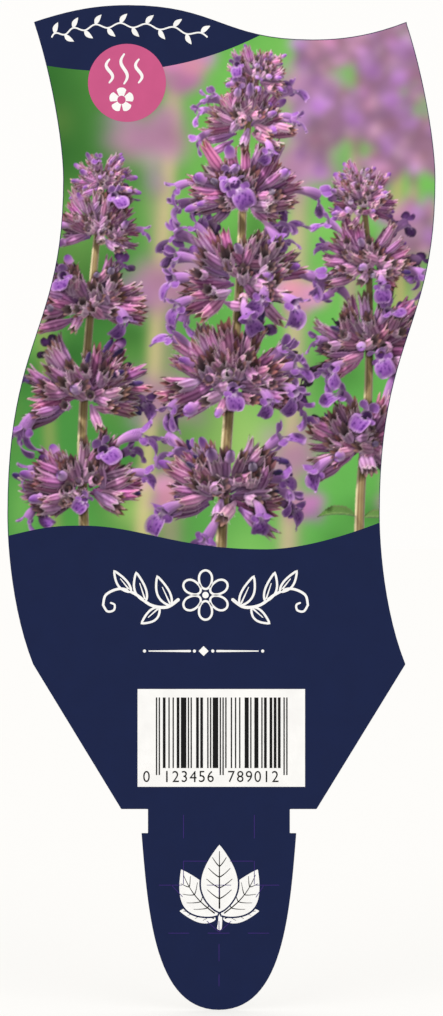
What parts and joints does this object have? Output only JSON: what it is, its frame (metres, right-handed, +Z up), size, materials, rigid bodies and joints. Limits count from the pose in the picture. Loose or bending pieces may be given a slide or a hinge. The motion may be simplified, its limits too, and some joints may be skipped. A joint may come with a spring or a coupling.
{
  "type": "plant label",
  "caption": "Flat die-cut plastic plant label: printed panel with waved top and sides, notched neck and rounded tongue for soil or a pot's slot.",
  "frame": {"origin": "middle of the neck at the height of the two shoulders, on the flat back face", "axes": "+X to the right as seen from the front, +Y out of the back, -Y out of the printed front, +Z up from the tongue to the panel"},
  "size_m": [0.0815, 0.0005, 0.1913],
  "materials": {
    "printed_plastic": "satin printed front in navy on white plastic",
    "picture_print": "satin full-colour print of purple flower spikes on soft green",
    "white_print": "satin white ink",
    "pink_print": "satin pink ink",
    "black_print": "satin black ink",
    "score_line": "fine violet hairlines"
  },
  "bodies": {
    "root": {"label_sheet": "printed_plastic"}
  },
  "joints": []
}
